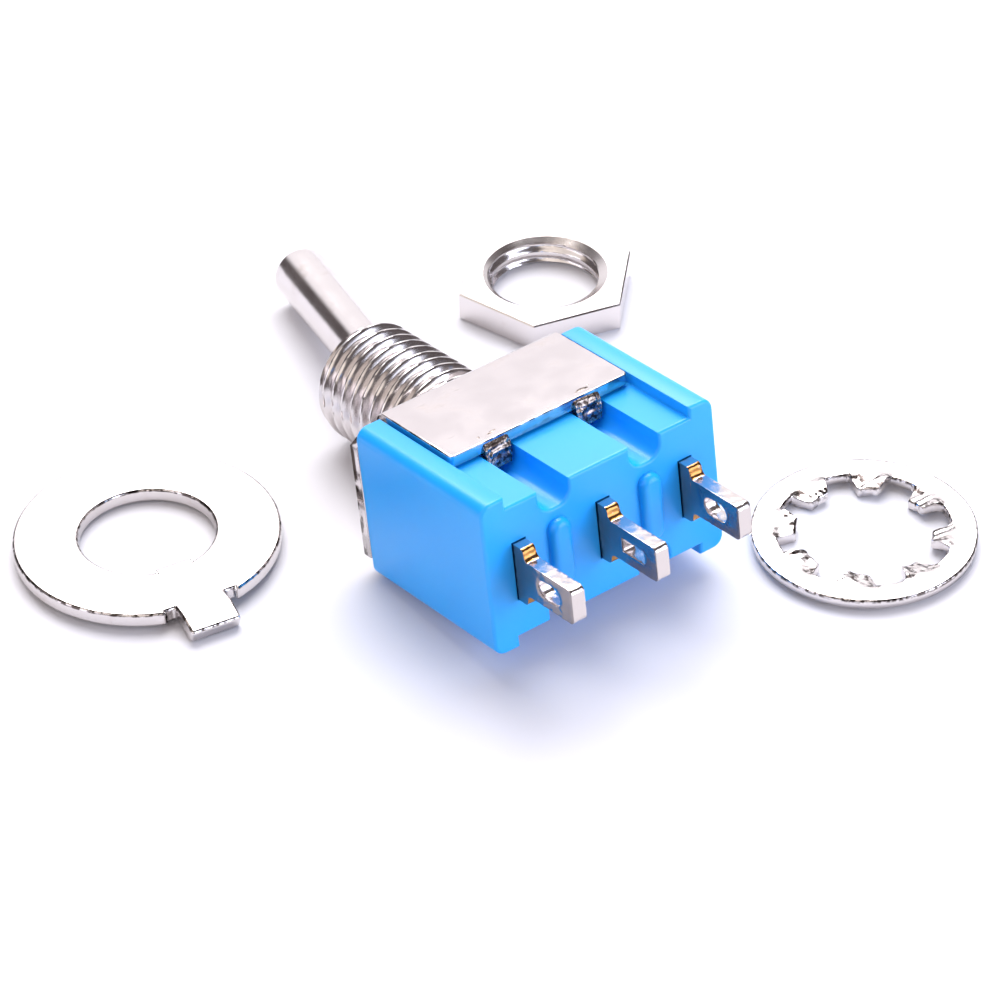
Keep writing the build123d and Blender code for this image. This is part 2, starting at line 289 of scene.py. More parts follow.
def make_surface(name: str, points: np.ndarray, rows_close: bool, crease: float = 40.0) -> bpy.types.Object:
    """Make a mesh from a grid of points whose columns close on themselves.

    Each face joins four neighbours of the grid. Rows close too on a ring-shaped surface; otherwise the first
    and last rows are poles or ends, whose coinciding points are merged and whose openings are filled.

    Args:
        name: The new object's name.
        points: Places in millimetres, shaped rows, columns, 3.
        rows_close: Whether the last row joins the first.
        crease: Edges that turn by more degrees than this stay sharp.

    Returns:
        The object, in the scene, with its place in its mesh.
    """
    rows, columns = points.shape[:2]
    index = np.arange(rows * columns).reshape(rows, columns)
    near = index if rows_close else index[:-1]
    far = np.roll(index, -1, axis=0) if rows_close else index[1:]
    quads = np.stack([near, np.roll(near, -1, axis=1), np.roll(far, -1, axis=1), far], axis=-1).reshape(-1, 4)
    mesh = bpy.data.meshes.new(name)
    mesh.from_pydata((points.reshape(-1, 3) * MM).tolist(), [], quads.tolist())
    work = bmesh.new()
    work.from_mesh(mesh)
    bmesh.ops.remove_doubles(work, verts=work.verts, dist=SAME_POINT)
    open_edges = [edge for edge in work.edges if edge.is_boundary]
    if open_edges:
        bmesh.ops.holes_fill(work, edges=open_edges, sides=0)
    bmesh.ops.recalc_face_normals(work, faces=work.faces)
    work.to_mesh(mesh)
    work.free()
    return show_mesh(name, mesh, crease)


def put_in_scene(name: str, data: Any) -> bpy.types.Object:
    """Make an object of a mesh, a light or a camera and link it to the scene.

    Args:
        name: The new object's name.
        data: What the object holds.

    Returns:
        The object.
    """
    thing = bpy.data.objects.new(name, data)
    bpy.context.scene.collection.objects.link(thing)
    return thing


def show_mesh(name: str, mesh: bpy.types.Mesh, crease: float) -> bpy.types.Object:
    """Put a mesh in the scene as an object, shaded smooth but for its sharp edges.

    Args:
        name: The new object's name.
        mesh: The mesh, in metres.
        crease: Edges that turn by more degrees than this stay sharp.

    Returns:
        The object.
    """
    mesh.shade_smooth()
    mesh.set_sharp_from_angle(angle=math.radians(crease))
    return put_in_scene(name, mesh)


@dataclass(frozen=True)
class EdgeFinish:
    """How a copied solid's faces and edges are finished, in millimetres.

    bevel is the edges' rounding, in as many segments as given. Edges that turn by more degrees than crease
    are rounded and shaded sharp, and where clamp holds, the shortest edge limits the rounding. grain is the
    length to which edges are divided, ripple the height of the surface's unevenness and ripple_length its
    wavelength. Points that lie closer than merge are joined first.
    """

    bevel: float = 0.05
    grain: float = 0.0
    ripple: float = 0.0
    ripple_length: float = 1.2
    crease: float = 35.0
    segments: int = 2
    clamp: bool = True
    merge: float = 0.0


def halve_long_edges(work: bmesh.types.BMesh, grain: float) -> None:
    """Cut a mesh to triangles and halve the edges that are longer than the grain until none is.

    Args:
        work: The mesh to divide.
        grain: The length in metres.
    """
    bmesh.ops.triangulate(work, faces=work.faces)
    for _ in range(MOST_HALVINGS):
        long_edges = [edge for edge in work.edges if edge.calc_length() > grain]
        if not long_edges:
            break
        bmesh.ops.subdivide_edges(work, edges=long_edges, cuts=1)
        bmesh.ops.triangulate(work, faces=work.faces)


def make_uneven(mesh: bpy.types.Mesh, finish: EdgeFinish, seed: int) -> None:
    """Move each point of a mesh along its normal by the ripple's height.

    Args:
        mesh: The mesh, in metres.
        finish: The ripple's height and wavelength.
        seed: Which ripple is drawn.
    """
    places = np.empty(len(mesh.vertices) * 3)
    mesh.vertices.foreach_get("co", places)
    normals = np.empty_like(places)
    mesh.vertices.foreach_get("normal", normals)
    places = places.reshape(-1, 3)
    lift = ripple(places / MM, finish.ripple_length, seed) * finish.ripple * MM
    mesh.vertices.foreach_set("co", (places + normals.reshape(-1, 3) * lift[:, None]).ravel())


def finished_copy(node: str, finish: EdgeFinish, seed: int = 1,
                  cut_below: Optional[float] = None) -> bpy.types.Object:
    """Copy a solid's mesh, merge it and finish its edges.

    Flat faces are joined again, the rest is divided to the grain and made uneven, and sharp edges are rounded
    last, by a Bevel modifier.

    Args:
        node: The CAD node to copy.
        finish: The sizes of the edges and of the unevenness.
        seed: Which ripple is drawn.
        cut_below: Height along the bushing, in millimetres, under which the copy is cut off flat.

    Returns:
        The finished piece, which replaces the node.
    """
    name = f"{node}_finished"
    mesh = frame["nodes"][node].data.copy()
    mesh.name = name
    mesh.materials.clear()
    work = bmesh.new()
    work.from_mesh(mesh)
    bmesh.ops.remove_doubles(work, verts=work.verts, dist=SAME_CORNER)
    if cut_below is not None:
        plane_point = Vector((SEAT.place(0.0, 0.0, cut_below) * MM).tolist())
        bmesh.ops.bisect_plane(work, geom=[*work.verts, *work.edges, *work.faces], dist=SAME_POINT,
                               plane_co=plane_point, plane_no=Vector(SEAT.third.tolist()),
                               clear_inner=True)
        bmesh.ops.holes_fill(work, edges=[edge for edge in work.edges if edge.is_boundary], sides=0)
    bmesh.ops.dissolve_limit(work, angle_limit=FLAT_TURN, verts=work.verts, edges=work.edges)
    if finish.merge > 0.0:
        bmesh.ops.remove_doubles(work, verts=work.verts, dist=finish.merge * MM)
    if finish.grain > 0.0:
        halve_long_edges(work, finish.grain * MM)
    bmesh.ops.recalc_face_normals(work, faces=work.faces)
    work.to_mesh(mesh)
    work.free()
    if finish.ripple > 0.0:
        make_uneven(mesh, finish, seed)
    piece = show_mesh(name, mesh, finish.crease)
    if finish.bevel > 0.0:
        rounding = piece.modifiers.new("edge_rounding", "BEVEL")
        rounding.width = finish.bevel * MM
        rounding.segments = finish.segments
        rounding.use_clamp_overlap = finish.clamp
        rounding.limit_method = "ANGLE"
        rounding.angle_limit = math.radians(finish.crease)
        rounding.harden_normals = True
    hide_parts(node)
    return piece


def add_node(tree: bpy.types.NodeTree, kind: str, inputs: Optional[dict[Any, Any]] = None,
             stops: Optional[list[tuple[float, Any]]] = None, **settings: Any) -> bpy.types.Node:
    """Add a shader node with its settings and its links.

    Args:
        tree: The node tree it goes into.
        kind: The node's type name.
        inputs: Socket name or number to a constant, or to another node's output socket, which is linked.
        stops: A colour ramp's stops, each a place and a colour.
        settings: Properties set on the node.

    Returns:
        The new node.
    """
    node = tree.nodes.new(kind)
    for key, value in settings.items():
        setattr(node, key, value)
    for key, value in (inputs or {}).items():
        if isinstance(value, bpy.types.NodeSocket):
            tree.links.new(value, node.inputs[key])
        else:
            node.inputs[key].default_value = value
    for number, (place, colour) in enumerate(stops or []):
        element = node.color_ramp.elements[number] if number < 2 else node.color_ramp.elements.new(place)
        element.position = place
        element.color = colour
    return node


def new_material(name: str) -> tuple[bpy.types.Material, bpy.types.NodeTree, bpy.types.Node, Any]:
    """Start a material.

    Args:
        name: The material's name.

    Returns:
        The material, its node tree, its Principled BSDF and the Object coordinates' socket.
    """
    material = bpy.data.materials.new(name)
    material.use_nodes = True
    tree = material.node_tree
    shader = next(node for node in tree.nodes if node.type == "BSDF_PRINCIPLED")
    place = add_node(tree, "ShaderNodeTexCoord").outputs["Object"]
    return material, tree, shader, place


def facing(tree: bpy.types.NodeTree, axis: np.ndarray, start: float, end: float,
           either_side: bool = False) -> bpy.types.NodeSocket:
    """Mark the faces that look along an axis.

    Args:
        tree: The node tree it goes into.
        axis: The unit vector to look along.
        start: The normal's share along the axis at which the mark is 0.
        end: The share at which it is 1.
        either_side: Whether faces that look the other way count too.

    Returns:
        The mark's socket.
    """
    normal = add_node(tree, "ShaderNodeTexCoord").outputs["Normal"]
    share = add_node(tree, "ShaderNodeVectorMath", {0: normal, 1: axis.tolist()},
                     operation="DOT_PRODUCT").outputs["Value"]
    if either_side:
        share = add_node(tree, "ShaderNodeMath", {0: share}, operation="ABSOLUTE").outputs["Value"]
    return add_node(tree, "ShaderNodeMapRange",
                    {"Value": share, "From Min": start, "From Max": end}).outputs["Result"]


def height_along(tree: bpy.types.NodeTree, place: bpy.types.NodeSocket) -> bpy.types.NodeSocket:
    """Measure how far a point lies from the panel seat along the bushing.

    Args:
        tree: The node tree it goes into.
        place: The point's socket, in metres.

    Returns:
        The height's socket, in metres.
    """
    offset = add_node(tree, "ShaderNodeVectorMath", {0: place, 1: (SEAT.origin * MM).tolist()},
                      operation="SUBTRACT")
    return add_node(tree, "ShaderNodeVectorMath", {0: offset.outputs["Vector"], 1: SEAT.third.tolist()},
                    operation="DOT_PRODUCT").outputs["Value"]


def times(tree: bpy.types.NodeTree, *marks: bpy.types.NodeSocket) -> bpy.types.NodeSocket:
    """Multiply marks, so that only what all of them mark stays.

    Args:
        tree: The node tree it goes into.
        marks: The sockets to multiply.

    Returns:
        The product's socket.
    """
    product = marks[0]
    for mark in marks[1:]:
        product = add_node(tree, "ShaderNodeMath", {0: product, 1: mark},
                           operation="MULTIPLY").outputs["Value"]
    return product


def patches(tree: bpy.types.NodeTree, place: bpy.types.NodeSocket, size: float, ramp: tuple[float, float],
            least: float = 0.0, detail: float = 4.0) -> bpy.types.NodeSocket:
    """Mark random patches: noise that is cut off between two of its values.

    Args:
        tree: The node tree it goes into.
        place: The point's socket, in metres.
        size: The patches' size in millimetres.
        ramp: The noise's values at which the mark is least and full.
        least: The mark where the noise is low.
        detail: How many finer noises are laid over it.

    Returns:
        The mark's socket.
    """
    noise = add_node(tree, "ShaderNodeTexNoise", {"Vector": place, "Scale": per_mm(size), "Detail": detail})
    return add_node(tree, "ShaderNodeMapRange",
                    {"Value": noise.outputs["Fac"], "From Min": ramp[0], "From Max": ramp[1],
                     "To Min": least}).outputs["Result"]


def bumps(tree: bpy.types.NodeTree, place: bpy.types.NodeSocket, size: float, height: float,
          detail: float = 3.0, under: Optional[bpy.types.NodeSocket] = None) -> bpy.types.NodeSocket:
    """Roughen the normal with random bumps.

    Args:
        tree: The node tree it goes into.
        place: The point's socket, in metres.
        size: The bumps' size in millimetres.
        height: The bumps' height in millimetres.
        detail: How many finer noises are laid over it.
        under: The normal that they are laid over, if it isn't the plain one.

    Returns:
        The normal's socket.
    """
    noise = add_node(tree, "ShaderNodeTexNoise", {"Vector": place, "Scale": per_mm(size), "Detail": detail})
    inputs = {"Height": noise.outputs["Fac"], "Distance": height * MM}
    if under is not None:
        inputs["Normal"] = under
    return add_node(tree, "ShaderNodeBump", inputs).outputs["Normal"]


@dataclass(frozen=True)
class NickelPlate:
    """Bright nickel over steel or brass: a clear mirror that faint lumps and scratches soften.

    The plating is a little warm where it is thin, which gives the pale surface its pinkish stains. Faces that
    the shears cut are torn in bands next to the sheet's outer face, above the heights in torn_above, so they
    show dark streaks under the plating there. Specks of painted dark reflection lie on rounded upper edges,
    as the dim room's dark line on a rounded edge: where the normal leans away from straight up by more than
    edge_reflection_from, and where a folded sheet lies farther down the bushing's axis than
    edge_reflection_below. Lengths and heights are in millimetres. A field that ends in ramp holds the noise's
    values between which a mark rises, and one that ends in facing the normal's shares.
    """

    name: str
    bright: str = "#DED9D8"
    stained: str = "#CCC1BC"
    stain_start: float = 0.56
    stain_end: float = 0.85
    sheared: Optional[str] = None
    sheared_facing: tuple[float, float] = (0.6, 0.9)
    tear_length: float = 0.8
    tear_ramp: tuple[float, float] = (0.42, 0.5)
    torn_above: tuple[float, float] = (-0.36, -0.28)
    # Colour of the painted dark reflection: specks on rounded upper edges, where the dim room shows as a dark
    # line.
    painted_edge_reflection: Optional[str] = None
    edge_reflection_from: float = 0.93
    edge_reflection_full: float = 0.86
    edge_reflection_facing: tuple[float, float] = (0.08, 0.3)
    edge_reflection_below: Optional[float] = None
    edge_reflection_ease: float = 0.2
    speck_size: float = 0.3
    speck_ramp: tuple[float, float] = (0.44, 0.56)
    roughness: float = 0.15
    gloss_ramp: tuple[float, float] = (0.3, 0.75)
    gloss_shares: tuple[float, float] = (0.75, 1.7)
    stain_size: float = 1.6
    lump_size: float = 0.7
    lump_height: float = 0.003
    scratch_size: float = 0.09
    scratch_height: float = 0.0006
    scratch_stretch: tuple[float, float, float] = (0.12, 1.0, 1.0)
    scratch_turn: tuple[float, float, float] = (0.3, 0.4, 0.7)
    nick_colour: str = "#6E6460"
    nick_length: float = 1.1
    nick_width: float = 0.07
    nick_ramp: tuple[float, float] = (0.69, 0.76)
    worn_ramp: tuple[float, float] = (0.5, 0.62)
    worn_most: float = 0.4

    def make(self) -> bpy.types.Material:
        """Build the plated metal's material.

        Noise between two of its values turns bright to stained and dulls the gloss. Over it lie the nicks,
        the torn cuts and the painted dark reflection on rounded upper edges, each where all of its marks
        meet.

        Returns:
            The material.
        """
        material, tree, shader, place = new_material(self.name)
        stain = add_node(tree, "ShaderNodeTexNoise",
                         {"Vector": place, "Scale": per_mm(self.stain_size), "Detail": 5.0, "Roughness": 0.6})
        colour = add_node(tree, "ShaderNodeValToRGB", {"Fac": stain.outputs["Fac"]},
                          stops=[(self.stain_start, linear(self.bright)),
                                 (self.stain_end, linear(self.stained))]).outputs["Color"]
        lengthwise = add_node(tree, "ShaderNodeMapping",
                              {"Vector": place, "Scale": (self.nick_width / self.nick_length, 1.0, 1.0)})
        nick = patches(tree, lengthwise.outputs["Vector"], self.nick_width, self.nick_ramp, detail=1.0)
        worn = add_node(tree, "ShaderNodeMapRange",
                        {"Value": stain.outputs["Fac"], "From Min": self.worn_ramp[0],
                         "From Max": self.worn_ramp[1], "To Max": self.worn_most}).outputs["Result"]
        marks = [(times(tree, nick, worn), self.nick_colour)]
        if self.sheared is not None:
            torn = patches(tree, place, self.tear_length, self.tear_ramp)
            outer = add_node(tree, "ShaderNodeMapRange",
                             {"Value": height_along(tree, place), "From Min": self.torn_above[0] * MM,
                              "From Max": self.torn_above[1] * MM}).outputs["Result"]
            cut_face = facing(tree, SEAT.first, *self.sheared_facing, either_side=True)
            marks.append((times(tree, cut_face, torn, outer), self.sheared))
        # Painted dark reflection: dark specks on rounded upper edges, placed by how far the normal leans from
        # straight up.
        if self.painted_edge_reflection is not None:
            specks = patches(tree, place, self.speck_size, self.speck_ramp)
            edge = times(tree, facing(tree, UP, self.edge_reflection_from, self.edge_reflection_full),
                         facing(tree, UP, *self.edge_reflection_facing), specks)
            if self.edge_reflection_below is not None:
                past_bend = add_node(tree, "ShaderNodeMapRange",
                                     {"Value": height_along(tree, place), "From Min": self.edge_reflection_below * MM,
                                      "From Max": (self.edge_reflection_below - self.edge_reflection_ease) * MM})
                edge = times(tree, edge, past_bend.outputs["Result"])
            marks.append((edge, self.painted_edge_reflection))
        for mark, mark_colour in marks:
            colour = add_node(tree, "ShaderNodeMix", {"Factor": mark, "A": colour, "B": linear(mark_colour)},
                              data_type="RGBA").outputs["Result"]
        gloss = add_node(tree, "ShaderNodeMapRange",
                         {"Value": stain.outputs["Fac"], "From Min": self.gloss_ramp[0],
                          "From Max": self.gloss_ramp[1], "To Min": self.roughness * self.gloss_shares[0],
                          "To Max": self.roughness * self.gloss_shares[1]})
        lumps = bumps(tree, place, self.lump_size, self.lump_height)
        stretch = add_node(tree, "ShaderNodeMapping",
                           {"Vector": place, "Scale": self.scratch_stretch, "Rotation": self.scratch_turn})
        scratches = bumps(tree, stretch.outputs["Vector"], self.scratch_size, self.scratch_height,
                          detail=2.0, under=lumps)
        tree.links.new(colour, shader.inputs["Base Color"])
        tree.links.new(gloss.outputs["Result"], shader.inputs["Roughness"])
        tree.links.new(scratches, shader.inputs["Normal"])
        shader.inputs["Metallic"].default_value = 1.0
        return material


@dataclass(frozen=True)
class MouldedPlastic:
    """Moulded thermoplastic: satin, with a faint spark-eroded grain and light that sinks in a little.

    Lengths are in millimetres. flow_ramp holds the noise's values between which shade turns to colour.
    """

    name: str
    colour: str
    shade: str
    roughness: float = 0.36
    ior: float = 1.57
    flow_size: float = 6.0
    flow_ramp: tuple[float, float] = (0.35, 0.65)
    grain_size: float = 0.12
    grain_height: float = 0.0009
    sink: float = 0.15
    sink_depth: float = 0.5
    sink_radius: tuple[float, float, float] = (0.2, 0.6, 1.0)

    def make(self) -> bpy.types.Material:
        """Build the moulded plastic's material: broad noise turns shade to colour, fine noise is the grain.

        Returns:
            The material.
        """
        material, tree, shader, place = new_material(self.name)
        flow = add_node(tree, "ShaderNodeTexNoise",
                        {"Vector": place, "Scale": per_mm(self.flow_size), "Detail": 2.0})
        colour = add_node(tree, "ShaderNodeValToRGB", {"Fac": flow.outputs["Fac"]},
                          stops=[(self.flow_ramp[0], linear(self.shade)),
                                 (self.flow_ramp[1], linear(self.colour))])
        tree.links.new(colour.outputs["Color"], shader.inputs["Base Color"])
        tree.links.new(bumps(tree, place, self.grain_size, self.grain_height), shader.inputs["Normal"])
        shader.inputs["Roughness"].default_value = self.roughness
        shader.inputs["IOR"].default_value = self.ior
        shader.inputs["Subsurface Weight"].default_value = self.sink
        shader.inputs["Subsurface Radius"].default_value = self.sink_radius
        shader.inputs["Subsurface Scale"].default_value = self.sink_depth * MM
        return material


@dataclass(frozen=True)
class TinnedLug:
    """Stamped brass lug under bright plating, bare and golden brown on the shoulders that face outwards.

    The shoulders lie within shoulder_reach of shoulder_height, in millimetres along the bushing's axis.
    """

    name: str = "tinned_lug"
    bright: str = "#D5CDCA"
    # Painted dark reflection: the broad faces are made darker than the bright plating.
    broad: str = "#9C9493"
    bare: str = "#B07F48"
    roughness: float = 0.2
    shoulder_height: float = -10.9
    shoulder_reach: float = 0.62
    shoulder_ease: float = 0.9
    outwards_facing: tuple[float, float] = (0.12, 0.4)
    broad_facing: tuple[float, float] = (0.7, 0.95)
    wear_size: float = 0.35
    wear_ramp: tuple[float, float] = (0.3, 0.42)
    wear_least: float = 0.55
    lump_size: float = 0.3
    lump_height: float = 0.006

    def make(self) -> bpy.types.Material:
        """Build the lug's material: gold where the height is near the shoulder and the face looks outwards.

        Returns:
            The material.
        """
        material, tree, shader, place = new_material(self.name)
        from_shoulder = add_node(tree, "ShaderNodeMath",
                                 {0: height_along(tree, place), 1: self.shoulder_height * MM},
                                 operation="SUBTRACT")
        distance = add_node(tree, "ShaderNodeMath", {0: from_shoulder.outputs["Value"]}, operation="ABSOLUTE")
        near = add_node(tree, "ShaderNodeMapRange",
                        {"Value": distance.outputs["Value"],
                         "From Min": self.shoulder_reach * self.shoulder_ease * MM,
                         "From Max": self.shoulder_reach * MM, "To Min": 1.0, "To Max": 0.0})
        outwards = facing(tree, -SEAT.third, *self.outwards_facing)
        patchy = patches(tree, place, self.wear_size, self.wear_ramp, self.wear_least)
        gold = times(tree, near.outputs["Result"], outwards, patchy)
        # Painted dark reflection: faces that look along the row of lugs are darkened.
        broad = facing(tree, SEAT.first, *self.broad_facing, either_side=True)
        colour: Any = linear(self.bright)
        for mark, mark_colour in ((broad, self.broad), (gold, self.bare)):
            colour = add_node(tree, "ShaderNodeMix", {"Factor": mark, "A": colour, "B": linear(mark_colour)},
                              data_type="RGBA").outputs["Result"]
        tree.links.new(colour, shader.inputs["Base Color"])
        lumps = bumps(tree, place, self.lump_size, self.lump_height, detail=4.0)
        tree.links.new(lumps, shader.inputs["Normal"])
        shader.inputs["Metallic"].default_value = 1.0
        shader.inputs["Roughness"].default_value = self.roughness
        return material


def coat(piece: bpy.types.Object, material: bpy.types.Material) -> None:
    """Give a piece its only material."""
    piece.data.materials.clear()
    piece.data.materials.append(material)


def dress(piece: bpy.types.Object, material: bpy.types.Material, body: Body) -> None:
    """Give a new piece its material and let it ride on a body.

    Args:
        piece: The new piece.
        material: The finish that covers all of it.
        body: The body that carries it.
    """
    coat(piece, material)
    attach(piece, body.value)
    log.info("%s: %d faces, %s", piece.name, len(piece.data.polygons), material.name)


def redress(node: str, material: bpy.types.Material) -> None:
    """Give a CAD node that stays as it is a better material.

    Args:
        node: The CAD node's name.
        material: The finish that covers all of it.
    """
    coat(frame["nodes"][node], material)
    log.info("%s: solid kept, %s", node, material.name)


@dataclass
class ScrewThread:
    """A single-start V thread: pitch, depth and the shares of the pitch that its crest and root take.

    straight and eased are the weights of the plain flank and of the cubic step that rounds its ends.
    """

    pitch: float = 0.75
    depth: float = 0.42
    crest_share: float = 0.12
    root_share: float = 0.08
    straight: float = 0.7
    eased: float = 0.3

    def cut(self, turns: np.ndarray) -> np.ndarray:
        """Give how deep the groove is, from 0 on the crest to 1 in the root.

        The distance from the nearest crest, in turns, climbs a straight flank between the flats of crest and
        root, eased at both ends by mixing in a cubic step.

        Args:
            turns: Height over pitch plus angle over a full turn.

        Returns:
            The share of the thread's depth that is cut away.
        """
        distance = np.abs(turns - np.round(turns))
        start = self.crest_share / 2
        end = 0.5 - self.root_share / 2
        flank = np.clip((distance - start) / (end - start), 0.0, 1.0)
        return self.straight * flank + self.eased * smooth_step(distance, start, end)


@dataclass
class ThreadedBushing:
    """The mounting bushing: thread, keyway, chamfered mouth, slotted bore, spigot and riveted rim."""

    crest_radius: float = 2.95
    length: float = 8.75
    chamfer: float = 0.45
    bore_radius: float = 2.34
    mouth_chamfer: float = 0.1
    flare_radius: float = 2.8
    spigot_radius: float = 2.74
    rim_radius: float = 3.2
    rim_height: float = 0.5
    plate: float = 0.6
    neck_start: float = 0.1
    neck_height: float = 0.45
    keyway_width: float = 1.0
    keyway_depth: float = 0.55
    slot_half_width: float = 0.54
    slot_radius: float = 2.44
    slot_top: float = 5.54
    columns: int = 240
    thread_rows: int = 180
    bore_rows: int = 60
    thread: ScrewThread = field(default_factory=ScrewThread)

    def outer_radius(self, height: np.ndarray, angle: np.ndarray) -> np.ndarray:
        """Work out the threaded side's radius.

        The crest's radius less the thread's cut, eased into a plain neck over the plate, held under the
        45-degree chamfer at the top, and held to the keyway's flat floor where the angle lies in it. The
        floor's radius is its height over the angle's cosine, which is kept from nought away from the keyway.

        Args:
            height: Millimetres above the plate.
            angle: Radians from the row's direction.

        Returns:
            The radius in millimetres.
        """
        turns = height / self.thread.pitch + angle / FULL_TURN
        radius = self.crest_radius - self.thread.depth * self.thread.cut(turns)
        neck = self.crest_radius - self.thread.depth
        share = smooth_step(height, self.neck_start, self.neck_height)
        radius = neck + (radius - neck) * share
        radius = np.minimum(radius, self.crest_radius - self.chamfer + (self.length - height))
        in_keyway = (np.abs(radius * np.sin(angle)) < self.keyway_width / 2) & (np.cos(angle) > 0)
        least_cosine = 0.5
        keyway_floor = (self.crest_radius - self.keyway_depth) / np.maximum(np.cos(angle), least_cosine)
        return np.where(in_keyway, np.minimum(radius, keyway_floor), radius)

    def bore(self, height: np.ndarray, angle: np.ndarray) -> np.ndarray:
        """Work out the bore's radius: plain, flared below the seat, with the pin's two slots up to their top.

        Args:
            height: Millimetres above the plate.
            angle: Radians from the row's direction.

        Returns:
            The radius in millimetres.
        """
        share = np.clip(-height / (self.plate + self.rim_height), 0.0, 1.0)
        radius = self.bore_radius + (self.flare_radius - self.bore_radius) * share
        in_slot = (np.abs(radius * np.cos(angle)) < self.slot_half_width) & (height < self.slot_top)
        return np.where(in_slot, np.maximum(radius, self.slot_radius), radius)

    def build(self, metal: bpy.types.Material) -> None:
        """Join the outer rows, the mouth and the bore's rows to one closed ring and dress it.

        Args:
            metal: The turned brass's finish.
        """
        angle = around(self.columns)
        bottom = -self.plate - self.rim_height
        threaded = np.linspace(0.0, self.length, self.thread_rows)[:, None]
        bored = np.linspace(self.length - self.mouth_chamfer, bottom, self.bore_rows)[:, None]
        radius, height = stacked(angle, (self.rim_radius, bottom), (self.rim_radius, -self.plate),
                                 (self.spigot_radius, -self.plate), (self.spigot_radius, 0.0),
                                 (self.outer_radius(threaded, angle), threaded),
                                 (self.bore_radius + self.mouth_chamfer, self.length),
                                 (self.bore(bored, angle), bored))
        piece = make_surface("bushing_threaded", SEAT.round_place(radius, angle, height), rows_close=True)
        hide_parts("bushing")
        dress(piece, metal, Body.SWITCH)


@dataclass
class HexNut:
    """The mounting nut: a hexagon with rounded edges and a threaded, countersunk bore."""

    sides: int = 6
    across_flats: float = 8.0
    thickness: float = 1.5
    turn: float = 45.2
    edge: float = 0.07
    bore_radius: float = 2.65
    countersink: float = 0.45
    countersink_slope: float = 1.73
    crease: float = 25.0
    columns: int = 240
    bore_rows: int = 60
    thread: ScrewThread = field(default_factory=lambda: ScrewThread(depth=0.2, crest_share=0.22))

    def outline(self, angle: np.ndarray) -> np.ndarray:
        """Work out the hexagon's radius: half the width across flats over the cosine from the nearest flat.

        Args:
            angle: Radians round the nut from one of its corners.

        Returns:
            The radius in millimetres.
        """
        from_flat = np.mod(angle, FULL_TURN / self.sides) - FULL_TURN / self.sides / 2
        return self.across_flats / 2 / np.cos(from_flat)

    def build(self, metal: bpy.types.Material) -> None:
        """Join the hexagon's rows and the bore's rows to one closed ring and dress it.

        The bore's radius is the crest's plus the thread's cut, or where that is more, the countersink's,
        which falls from either face by its slope.

        Args:
            metal: The turned brass's finish.
        """
        axes = flat_axes(np.array(mount_named("nut_thread")["pos_m"]) / MM, FLOOR, self.turn)
        angle = around(self.columns)
        outline = self.outline(angle)
        bored = np.linspace(self.thickness, 0.0, self.bore_rows)[:, None]
        turns = bored / self.thread.pitch - angle / FULL_TURN
        bore = self.bore_radius + self.thread.depth * self.thread.cut(turns)
        from_face = np.minimum(bored, self.thickness - bored)
        bore = np.maximum(bore, self.bore_radius + self.countersink - self.countersink_slope * from_face)
        radius, height = stacked(angle, (outline - self.edge, 0.0), (outline, self.edge),
                                 (outline, self.thickness - self.edge),
                                 (outline - self.edge, self.thickness), (bore, bored))
        piece = make_surface("hex_nut_threaded", axes.round_place(radius, angle, height), rows_close=True,
                             crease=self.crease)
        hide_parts("hex_nut")
        dress(piece, metal, Body.SWITCH)


